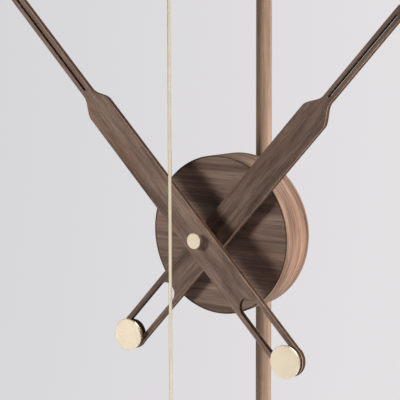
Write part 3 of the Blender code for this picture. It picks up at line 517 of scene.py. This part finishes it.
def plate(outline, holes, y0, y1, edge, steps=EDGE_STEPS):
    """A flat piece between y0 and y1 with rounded arrises: outline anticlockwise, holes clockwise.

    Its side walls are given material index 1, which only a piece with a second finish shows.
    """
    quarter = [math.pi / 2.0 * k / steps for k in range(steps + 1)]
    front = [(y0 + edge * (1.0 - math.cos(t)), edge * (1.0 - math.sin(t))) for t in quarter]
    back = [(y1 - edge * (1.0 - math.cos(t)), edge * (1.0 - math.sin(t))) for t in reversed(quarter)]
    bm = bmesh.new()
    caps = ([], [])
    for loop in [outline] + holes:
        rows = []
        for y, amount in front + back:
            rows.append([bm.verts.new((x, y, z)) for x, z in inset(loop, amount)])
        for level, (first, second) in enumerate(zip(rows, rows[1:])):
            for k in range(len(loop)):
                n = (k + 1) % len(loop)
                face = bm.faces.new((first[k], first[n], second[n], second[k]))
                face.material_index = int(level == steps)
        for edges, row in zip(caps, (rows[0], rows[-1])):
            edges.extend(bm.edges.get((row[k - 1], row[k])) for k in range(len(row)))
    for edges in caps:
        bmesh.ops.triangle_fill(bm, use_beauty=True, use_dissolve=False, edges=edges)
    return bm


def arc(cx, cz, r, start, end, steps):
    """Points on an arc, in degrees anticlockwise from +x, ends included."""
    angles = [math.radians(start + (end - start) * k / steps) for k in range(steps + 1)]
    return [(cx + r * math.cos(a), cz + r * math.sin(a)) for a in angles]


def circle(cx, cz, r, sides=64):
    return arc(cx, cz, r, 0.0, 360.0 * (sides - 1) / sides, sides - 1)


def brick(low, high, edge):
    """A rectangular piece with rounded edges."""
    corners = [(low[0], low[2]), (high[0], low[2]), (high[0], high[2]), (low[0], high[2])]
    outline = rounded([(x, z, edge * 1.5) for x, z in corners])
    return plate(outline, [], low[1], high[1], edge)


def solid(name, bm):
    """A finished object from a millimetre bmesh."""
    bmesh.ops.remove_doubles(bm, verts=bm.verts, dist=1e-5)
    bmesh.ops.recalc_face_normals(bm, faces=bm.faces)
    bmesh.ops.scale(bm, vec=(MM, MM, MM), verts=bm.verts)
    mesh = bpy.data.meshes.new(name)
    bm.to_mesh(mesh)
    bm.free()
    obj = bpy.data.objects.new(name, mesh)
    bpy.context.scene.collection.objects.link(obj)
    return obj


def combine(obj, other, operation):
    """Join `other` to `obj`, or cut it away, and keep only the result."""
    step = obj.modifiers.new("step", "BOOLEAN")
    step.operation = operation
    step.solver = "EXACT"
    step.object = other
    bpy.context.view_layer.update()
    result = bpy.data.meshes.new_from_object(obj.evaluated_get(bpy.context.evaluated_depsgraph_get()))
    obj.modifiers.remove(step)
    obj.data = result
    bpy.data.objects.remove(other, do_unlink=True)
    return obj


def stand_in(node, shape, finish, sides=None):
    """The finished piece that is seen in place of a CAD node, moving with the node's body."""
    obj = shape if isinstance(shape, bpy.types.Object) else solid(node + "_piece", shape)
    obj.name = node + "_piece"
    obj.data.shade_smooth()
    obj.data.set_sharp_from_angle(angle=math.radians(SMOOTH_ANGLE))
    weighted = obj.modifiers.new("even_normals", "WEIGHTED_NORMAL")
    weighted.keep_sharp = True
    if sides is None:
        obj.data.polygons.foreach_set("material_index", [0] * len(obj.data.polygons))
    while obj.data.materials:
        obj.data.materials.pop()
    for key in (finish, sides):
        if key is not None:
            obj.data.materials.append(finishes[key])
    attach(obj, BODY_OF[node])
    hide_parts(node)
    return obj


# ------------------------------------------------------------------ pole, brackets and drum

CUTTER_REACH = 6.0
SHARP = 0.02            # rounding of a cutter's edges
POST_R = 5.5
POST_BITE = 1.6         # how far outside a collar's bore its post starts
WALL_FLANGE_R = 8.0
DRUM_FLANGE_R = 9.0
WALL_HOLE_X = 13.5
WALL_HOLE_R = 2.25
COLLAR_BORE = 7.85
COLLAR_EDGE = 0.6
GRUB_R = 1.5


def slotted(name, bm, head_y, depth, place, width, side):
    """Cut a screwdriver slot across a round head: its outer face is at head_y, `side` is outwards along Y."""
    x, z = place
    low, high = sorted((head_y - side * depth, head_y + side))
    cutter = brick((x - CUTTER_REACH, low, z - width / 2.0), (x + CUTTER_REACH, high, z + width / 2.0), SHARP)
    cutter = solid("cutter", cutter)
    return combine(solid(name, bm), cutter, "DIFFERENCE")


CAP_CROWN = 1.4
CAP_BEVEL = 2.6


def make_pole():
    at = centre("pole")
    low, high = extent("pole", 2)
    radius = radius_of("pole")
    place = (0.0, at.y, 0.0)
    stand_in("pole", rod(radius, low, high, 0.8, "Z", place), "pole")
    for node, side in (("pole_cap_top", 1.0), ("pole_cap_bottom", -1.0)):
        low, high = extent(node, 2)
        near, far = (low, high) if side > 0.0 else (high, low)
        cap_r = radius_of(node)
        profile = rounded([(0.0, near, 0.0), (cap_r, near, 0.3), (cap_r, far - side * CAP_CROWN, 1.0),
                           (cap_r - CAP_BEVEL, far, 1.6), (0.0, far, 0.0)])
        stand_in(node, lathe(profile, "Z", place), "brass")


def make_collar(node, collar_r, post, post_z):
    """Ring clamped on the pole with a turned post standing off it, and a grub screw socket in its side."""
    y = centre("pole").y
    low, high = box(node)
    z = (low.z + high.z) / 2.0
    half_h = (high.z - low.z) / 2.0
    place = (0.0, y, 0.0)
    body = solid("collar", ring(COLLAR_BORE, collar_r, z - half_h, z + half_h, COLLAR_EDGE, "Z", place))
    body = combine(body, solid("post", lathe(rounded(post), "Y", (0.0, 0.0, post_z), 64)), "UNION")
    socket = solid("socket", rod(GRUB_R, collar_r - 1.2, collar_r + 1.0, 0.0, "X", (0.0, y, z), 6))
    return stand_in(node, combine(body, socket, "DIFFERENCE"), "brass")


def flanged_post(side, end_y, flange_r):
    """Post standing off the pole towards `side` along Y, flared to a flange whose face is at end_y."""
    near = centre("pole").y + side * (COLLAR_BORE + POST_BITE)
    return [(0.0, near, 0.0), (POST_R, near, 0.0), (POST_R, end_y - side * 3.4, 2.0),
            (flange_r, end_y - side * 1.6, 0.5), (flange_r, end_y, 0.3), (0.0, end_y, 0.0)]


def make_brackets():
    collar_r = radius_of("drum_bracket_upper")
    for label in ("top", "middle", "bottom"):
        node = "wall_bracket_" + label
        z = centre(node).z
        make_collar(node, collar_r, flanged_post(1.0, box(node)[1].y, WALL_FLANGE_R), z)
        node = "wall_plate_" + label
        low, high = box(node)
        holes = [circle(x, z, WALL_HOLE_R, 32)[::-1] for x in (-WALL_HOLE_X, WALL_HOLE_X)]
        outline = circle(0.0, z, radius_of(node), ROUND_SIDES)
        stand_in(node, plate(outline, holes, low.y, high.y, 0.6), "brass")
    for label in ("upper", "lower"):
        node = "drum_bracket_" + label
        make_collar(node, collar_r, flanged_post(-1.0, box(node)[0].y, DRUM_FLANGE_R), centre(node).z)


RIM_LIP = 1.1
DRUM_BACK_R = 74.8
RIM_INNER_R = 67.0
FACE_HOLE_R = 4.2
WINDOW_HALF = 29.0
SEAT_GAP = 0.3
SCREW_SLOT = 0.9
SCREW_R = 1.6
SCREW_HOLE_R = 1.8
SCREW_HEAD_T = 1.9


def make_drum():
    low, high = box("drum_rim")
    face_low, face_high = box("drum_face")
    back_low, back_high = box("drum_back")
    radius = (high.x - low.x) / 2.0
    lip = radius - RIM_LIP
    back_lip = DRUM_BACK_R - RIM_LIP
    seat = face_high.y + SEAT_GAP
    back_seat = back_low.y - SEAT_GAP
    corners = [(lip, low.y, 0.2), (radius, low.y, 0.45), (DRUM_BACK_R, high.y, 0.6), (back_lip, high.y, 0.3),
               (back_lip, back_seat, 0.0), (RIM_INNER_R, back_seat, 0.4), (RIM_INNER_R, seat, 0.4),
               (lip, seat, 0.0)]
    stand_in("drum_rim", lathe(rounded(corners), sides=192), "rim")
    face_r = (face_high.x - face_low.x) / 2.0
    corners = [(FACE_HOLE_R, face_low.y, 0.3), (face_r, face_low.y, 0.4), (face_r, face_high.y, 0.2),
               (FACE_HOLE_R, face_high.y, 0.3)]
    stand_in("drum_face", lathe(rounded(corners), sides=192), "face")
    corner = [(-1.0, -1.0), (1.0, -1.0), (1.0, 1.0), (-1.0, 1.0)]
    window = rounded([(x * WINDOW_HALF, z * WINDOW_HALF, 2.0) for x, z in corner])[::-1]
    holes = [window]
    for label in ("top", "left", "right"):
        node = "back_screw_" + label
        low, high = box(node)
        x, z = (low.x + high.x) / 2.0, (low.z + high.z) / 2.0
        holes.append(circle(x, z, SCREW_HOLE_R, 24)[::-1])
        head_r = (high.x - low.x) / 2.0
        under = high.y - SCREW_HEAD_T
        profile = rounded([(0.0, low.y, 0.0), (SCREW_R, low.y + 1.4, 0.3), (SCREW_R, under, 0.0),
                           (head_r, under, 0.2), (head_r, high.y, 0.6), (0.0, high.y, 0.0)])
        screw = slotted(node, lathe(profile, "Y", (x, 0.0, z), 48), high.y, 1.0, (x, z), SCREW_SLOT, 1.0)
        stand_in(node, screw, "steel")
    back_r = (back_high.x - back_low.x) / 2.0
    stand_in("drum_back", plate(circle(0.0, 0.0, back_r, 128), holes, back_low.y, back_high.y, 0.5), "back")


# ------------------------------------------------------------------ hands and spindle

HAND_HALF_W = 14.8
TAIL_S = -142.0
TAIL_END_R = 15.2
SLOT_HALF_W = 9.9
SLOT_INNER_S = -70.9
PAD_R = 13.4
SLIT_HALF_W = 0.95
SLIT_START = 3.0        # past the end of the shoulder
SLIT_END = 14.0         # short of the tip
NOSE_L = 9.0
HAND_EDGE = 0.45
WEIGHT_HOLE_R = 1.4
WEIGHT_SCREW_R = 1.25
WEIGHT_SCREW_HEAD_R = 2.6
WEIGHT_SCREW_HEAD_T = 1.3
HANDS = {
    "minute": {"turn": MINUTE_TURN, "tip": 380.0, "blade": 5.6, "shoulder": (163.0, 184.5), "bore": 1.56},
    "hour": {"turn": HOUR_TURN, "tip": 300.0, "blade": 4.9, "shoulder": (161.0, 183.0), "bore": 2.66},
}


def hand_outline(tip, blade, shoulder):
    """Up the right-hand side, round the tip, down the left and round the tail."""
    start, end = shoulder
    steps = 28
    right = [(HAND_HALF_W, TAIL_S + TAIL_END_R * 0.25)]
    for k in range(steps + 1):
        u = k / steps
        width = HAND_HALF_W + (blade - HAND_HALF_W) * u * u * (3.0 - 2.0 * u)
        right.append((width, start + (end - start) * u))
    right += [(blade * math.cos(t), tip - NOSE_L + NOSE_L * math.sin(t))
              for t in (math.pi / 2.0 * k / 10 for k in range(10))]
    left = [(-x, s) for x, s in reversed(right)]
    dip = math.degrees(math.asin(0.25))
    return right + [(0.0, tip)] + left + arc(0.0, TAIL_S, TAIL_END_R, 180.0 + dip * 0.2, 360.0 - dip * 0.2, 48)


def hand_holes(tip, shoulder, bore):
    reach = math.degrees(math.acos(SLOT_HALF_W / PAD_R))
    slot = arc(0.0, SLOT_INNER_S - SLOT_HALF_W, SLOT_HALF_W, 0.0, 180.0, 32)
    slot += arc(0.0, TAIL_S, PAD_R, 180.0 - reach, reach, 24)
    low, high = shoulder[1] + SLIT_START + SLIT_HALF_W, tip - SLIT_END - SLIT_HALF_W
    slit = arc(0.0, low, SLIT_HALF_W, 180.0, 360.0, 12) + arc(0.0, high, SLIT_HALF_W, 0.0, 180.0, 12)
    return [circle(0.0, 0.0, bore, 32)[::-1], circle(0.0, TAIL_S, WEIGHT_HOLE_R, 24)[::-1], slot[::-1],
            slit[::-1]]


def make_hands():
    for label, size in HANDS.items():
        node = label + "_hand"
        front, back = extent(node, 1)
        outline = hand_outline(size["tip"], size["blade"], size["shoulder"])
        holes = hand_holes(size["tip"], size["shoulder"], size["bore"])
        blank = plate(outline, holes, front, back, HAND_EDGE)
        turn = Matrix.Rotation(math.radians(size["turn"]), 4, "Y")
        bmesh.ops.transform(blank, matrix=turn, verts=blank.verts)
        stand_in(node, blank, label, "dark_sides")
        place = centre(label + "_weight")
        at = (place.x, 0.0, place.z)
        low, high = extent(label + "_weight", 1)
        radius = radius_of(label + "_weight")
        stand_in(label + "_weight", rod(radius, low, high, 0.4, "Y", at, 128), "disc")
        low, high = extent(label + "_weight_boss", 1)
        radius = radius_of(label + "_weight_boss")
        stand_in(label + "_weight_boss", ring(WEIGHT_HOLE_R, radius, low, high, 0.5, "Y", at), "boss")
        node = label + "_weight_screw"
        low, high = extent(node, 1)
        under = high - WEIGHT_SCREW_HEAD_T
        profile = rounded([(0.0, low, 0.0), (WEIGHT_SCREW_R, low, 0.1), (WEIGHT_SCREW_R, under, 0.0),
                           (WEIGHT_SCREW_HEAD_R, under, 0.1), (WEIGHT_SCREW_HEAD_R, high, 0.7),
                           (0.0, high, 0.0)])
        screw = slotted(node, lathe(profile, "Y", at, 48), high, 0.7, (place.x, place.z), 0.6, 1.0)
        stand_in(node, screw, "steel")


KNOB_T = 1.6
KNOB_NECK_R = 6.5
KNOB_CAP_T = 2.4
ARBOR_R = 1.5
TUBE_BORE_R = 1.6
BUSH_BORE_R = 2.7
NUT_BORE_R = 3.9
NUT_HALF_FLATS = 5.5
THREAD_PITCH = 0.7
THREAD_R = (3.45, 3.8)      # root and crest
BUSH_NECK_R = 3.6
BUSH_FLANGE_R = 6.0
BUSH_FLANGE_T = 1.0
THREAD_STOP = 2.0           # below the flange face


def make_spindle():
    low, high = extent("hand_knob", 1)
    radius = radius_of("hand_knob")
    under = low + KNOB_T
    bore_end = low + KNOB_CAP_T
    profile = [(0.0, low, 0.0), (radius, low, 0.45), (radius, under, 0.3), (KNOB_NECK_R, under, 0.2),
               (KNOB_NECK_R, high, 0.15), (TUBE_BORE_R, high, 0.0), (TUBE_BORE_R, bore_end, 0.0),
               (0.0, bore_end, 0.0)]
    stand_in("hand_knob", lathe(rounded(profile)), "disc")
    for node, bore, edge, finish in (
            ("minute_spacer", TUBE_BORE_R, 0.4, "brass"), ("hour_collar", BUSH_BORE_R, 0.4, "brass"),
            ("hour_tube", TUBE_BORE_R, 0.1, "brass"), ("dial_washer", NUT_BORE_R, 0.15, "steel")):
        low, high = extent(node, 1)
        radius = radius_of(node)
        stand_in(node, ring(bore, radius, low, high, edge), finish)
    low, high = extent("minute_arbor", 1)
    stand_in("minute_arbor", rod(ARBOR_R, low, high, 0.1, sides=48), "steel")
    low, high = extent("dial_nut", 1)
    corner_r = NUT_HALF_FLATS / math.cos(math.radians(30.0))
    hexagon = rounded([(*p, 0.5) for p in circle(0.0, 0.0, corner_r, 6)])
    bore = circle(0.0, 0.0, NUT_BORE_R, 48)[::-1]
    stand_in("dial_nut", plate(hexagon, [bore], low, high, 0.4), "brass")
    low, high = extent("movement_bush", 1)
    flange = high - BUSH_FLANGE_T
    profile = [(BUSH_BORE_R, low, 0.0)]
    for k in range(int((high - THREAD_STOP - low) / THREAD_PITCH)):
        a = low + THREAD_PITCH * k
        profile += [(THREAD_R[0], a, 0.0), (THREAD_R[1], a + THREAD_PITCH * 0.45, 0.0)]
    profile += [(BUSH_NECK_R, flange, 0.0), (BUSH_FLANGE_R, flange, 0.1), (BUSH_FLANGE_R, high, 0.1),
                (BUSH_BORE_R, high, 0.0)]
    stand_in("movement_bush", lathe(rounded(profile)), "brass")


# ------------------------------------------------------------------ movement, seen through the back

CASE_WALL = 1.5
CASE_EDGE = 0.9
BAY_HALF = 26.2
BAY_PLAY = 0.2
LID_CORNER = 2.0
LID_HOLE_R = 1.1
VENT_PLACES = (-19.0, -14.0, -9.0)
VENT_Z = (2.0, 22.0)
VENT_DEPTH = 0.6
BATTERY_TIP_R = 2.6
BATTERY_TIP_L = 1.4
FLUTES = 28
FLUTE_DEPTH = 0.25


def rectangle(x0, x1, z0, z1, corner):
    return rounded([(x0, z0, corner), (x1, z0, corner), (x1, z1, corner), (x0, z1, corner)])


def make_movement():
    low, high = box("movement_tray")
    tray = solid("tray", brick(low, high, CASE_EDGE))
    wall = CASE_WALL
    inside = brick((low.x + wall, low.y + wall, low.z + wall), (high.x - wall, high.y + 2.0, high.z - wall),
                   0.5)
    tray = combine(tray, solid("inside", inside), "DIFFERENCE")
    hole = solid("hole", rod(NUT_BORE_R, low.y - 2.0, low.y + wall + 2.0, 0.0, sides=48))
    stand_in("movement_tray", combine(tray, hole, "DIFFERENCE"), "black")
    low, high = box("movement_lid")
    cell_low, cell_high = box("movement_battery")
    bay = rectangle(-BAY_HALF, BAY_HALF, cell_low.z - BAY_PLAY, cell_high.z + BAY_PLAY, 0.8)
    knob = centre("setting_knob")
    outline = rectangle(low.x, high.x, low.z, high.z, LID_CORNER)
    lid = plate(outline, [bay[::-1], circle(knob.x, knob.z, LID_HOLE_R, 24)[::-1]], low.y, high.y, 0.35)
    lid = solid("lid", lid)
    for x in VENT_PLACES:
        vent = brick((x - 1.0, high.y - VENT_DEPTH, VENT_Z[0]), (x + 1.0, high.y + 1.0, VENT_Z[1]), 0.3)
        lid = combine(lid, solid("vent", vent), "DIFFERENCE")
    stand_in("movement_lid", lid, "black")
    low, high = box("movement_battery")
    at = centre("movement_battery")
    radius = (high.z - low.z) / 2.0
    shoulder = high.x - BATTERY_TIP_L
    profile = [(0.0, low.x, 0.0), (radius - 1.0, low.x, 0.2), (radius - 1.0, low.x + 0.5, 0.0),
               (radius, low.x + 0.5, 0.6), (radius, shoulder, 0.6), (BATTERY_TIP_R, shoulder, 0.0),
               (BATTERY_TIP_R, high.x, 0.5), (0.0, high.x, 0.0)]
    stand_in("movement_battery", lathe(rounded(profile), "X", (0.0, at.y, at.z), 64), "battery")
    low, high = box("setting_knob")
    outline = []
    for k in range(FLUTES * 8):
        angle = 2.0 * math.pi * k / (FLUTES * 8)
        r = (high.x - low.x) / 2.0 - FLUTE_DEPTH * (1.0 - math.cos(angle * FLUTES)) / 2.0 - SHARP
        outline.append((knob.x + r * math.cos(angle), knob.z + r * math.sin(angle)))
    stand_in("setting_knob", plate(outline, [], low.y, high.y, 0.45), "black")


# ------------------------------------------------------------------ arm, head and pendulum

HEAD_WALL = 4.0


STUB_R = 8.0
COVER_GAP = 0.3
HEAD_SLOT_HALF_W = 6.5
HEAD_SLOT_HALF_D = 5.0
HEAD_SLOT_RISE = 8.0    # above the inner wall's lowest point


def make_arm_and_head():
    low, high = box("arm_collar")
    arm_low, arm_high = box("arm")
    arm_z = (arm_low.z + arm_high.z) / 2.0
    near = centre("pole").y - COLLAR_BORE - POST_BITE
    stub = [(0.0, near, 0.0), (STUB_R, near, 0.0), (STUB_R, low.y, 0.6), (0.0, low.y, 0.0)]
    make_collar("arm_collar", radius_of("arm_collar"), stub, arm_z)
    stand_in("arm", rod(radius_of("arm"), arm_low.y, arm_high.y, 0.5, "Y", (0.0, 0.0, arm_z)), "arm")
    low, high = box("head_shell")
    cover_low, cover_high = box("head_cover")
    z = (low.z + high.z) / 2.0
    radius = radius_of("head_shell")
    lip = radius - RIM_LIP
    inner = radius - HEAD_WALL
    seat = cover_high.y + COVER_GAP
    floor = high.y - HEAD_WALL
    corners = [(0.0, high.y, 0.0), (radius, high.y, 1.6), (radius, low.y, 0.8), (lip, low.y, 0.3),
               (lip, seat, 0.0), (inner, seat, 0.3), (inner, floor, 0.8), (0.0, floor, 0.0)]
    shell = solid("shell", lathe(rounded(corners), "Y", (0.0, 0.0, z), 128))
    rod_y = centre("pendulum_rod").y
    cutter = brick((-HEAD_SLOT_HALF_W, rod_y - HEAD_SLOT_HALF_D, low.z - 2.0),
                   (HEAD_SLOT_HALF_W, rod_y + HEAD_SLOT_HALF_D, z - inner + HEAD_SLOT_RISE), 1.2)
    stand_in("head_shell", combine(shell, solid("slot", cutter), "DIFFERENCE"), "head")
    cover = rod(radius_of("head_cover"), cover_low.y, cover_high.y, 0.4, "Y", (0.0, 0.0, z), 128)
    stand_in("head_cover", cover, "cover")


ROD_PLAY = 0.1
SOCKET_GAP = 0.3
EYE_R = 5.0
EYE_BORE_R = 1.55
EYE_HALF_T = 2.0
STEM_R = 3.2
STEM_NECK_R = 2.2
BOB_BEVEL = 6.0         # how far in from the edge the bob's crown starts
BOB_BEVEL_T = 3.4
FERRULE_R = 3.4
END_CAP_R = 4.4
END_CAP_TIP_R = 2.8
END_CAP_L = 5.4


def make_pendulum():
    low, high = box("pendulum_hanger")
    rod_low, rod_high = box("pendulum_rod")
    y = (rod_low.y + rod_high.y) / 2.0
    radius = radius_of("pendulum_rod")
    bore_r = radius + ROD_PLAY
    eye_z = high.z - EYE_R
    place = (0.0, y, 0.0)
    eye = ring(EYE_BORE_R, EYE_R, y - EYE_HALF_T, y + EYE_HALF_T, 0.4, "Y", (0.0, 0.0, eye_z))
    socket = rod_high.z + SOCKET_GAP
    top = eye_z - 3.2
    stem = [(0.0, top, 0.0), (STEM_NECK_R, top, 0.4), (STEM_R, eye_z - 6.5, 0.6), (STEM_R, low.z, 0.8),
            (bore_r, low.z, 0.0), (bore_r, socket, 0.0), (0.0, socket, 0.0)]
    stem = solid("stem", lathe(rounded(stem), "Z", place, 64))
    stand_in("pendulum_hanger", combine(solid("hanger", eye), stem, "UNION"), "brass")
    stand_in("pendulum_rod", rod(radius, rod_low.z, rod_high.z, 0.1, "Z", place, 48), "rod")
    low, high = box("pendulum_bob")
    radius = radius_of("pendulum_bob")
    half = (high.y - low.y) / 2.0
    flat = radius - BOB_BEVEL
    edge = half - BOB_BEVEL_T
    bob_z = (low.z + high.z) / 2.0
    crown = [(0.0, y - half, 0.0), (flat, y - half, 2.0), (radius, y - edge, 2.0), (radius, y + edge, 2.0),
             (flat, y + half, 2.0), (0.0, y + half, 0.0)]
    bob = solid("bob", lathe(rounded(crown, 8), "Y", (0.0, 0.0, bob_z), 160))
    bore = solid("bore", rod(bore_r, bob_z - radius - 5.0, bob_z + radius + 5.0, 0.0, "Z", place, 32))
    stand_in("pendulum_bob", combine(bob, bore, "DIFFERENCE"), "disc")
    low, high = box("bob_ferrule")
    stand_in("bob_ferrule", ring(bore_r, FERRULE_R, low.z, high.z, 0.6, "Z", place, 64), "brass")
    low, high = box("bob_end_cap")
    tip = rod_low.z - SOCKET_GAP
    profile = [(bore_r, high.z, 0.0), (END_CAP_R, high.z, 0.5), (END_CAP_R, high.z - END_CAP_L, 1.0),
               (END_CAP_TIP_R, low.z, 1.2), (0.0, low.z, 0.0), (0.0, tip, 0.0), (bore_r, tip, 0.0)]
    stand_in("bob_end_cap", lathe(rounded(profile), "Z", place, 64), "brass")


# ------------------------------------------------------------------ floor

def make_floor():
    bm = bmesh.new()
    bmesh.ops.create_circle(bm, cap_ends=True, segments=96, radius=FLOOR_RADIUS)
    mesh = bpy.data.meshes.new("floor")
    bm.to_mesh(mesh)
    bm.free()
    floor = bpy.data.objects.new("floor", mesh)
    floor.location = (0.0, -0.1, cad_box[0][2] - FLOOR_DROP)
    bpy.context.scene.collection.objects.link(floor)
    nodes = Nodes("pale_floor")
    speckle = nodes.noise(nodes.coordinates((9.0, 9.0, 9.0)), 4.0, 0.6)
    tone = nodes.ramp(nodes.grey(speckle, 0.3, 0.7), (0.0, (0.66, 0.655, 0.67)), (1.0, (0.71, 0.705, 0.72)))
    nodes.link(tone, nodes.shader, "Base Color")
    nodes.shader.inputs["Roughness"].default_value = 0.8
    mesh.materials.append(nodes.material)


make_camera()
make_world()
make_lights()
make_floor()
dress_frame()
make_pole()
make_brackets()
make_drum()
make_hands()
make_spindle()
make_movement()
make_arm_and_head()
make_pendulum()
bpy.context.scene.view_settings.view_transform = "Standard"
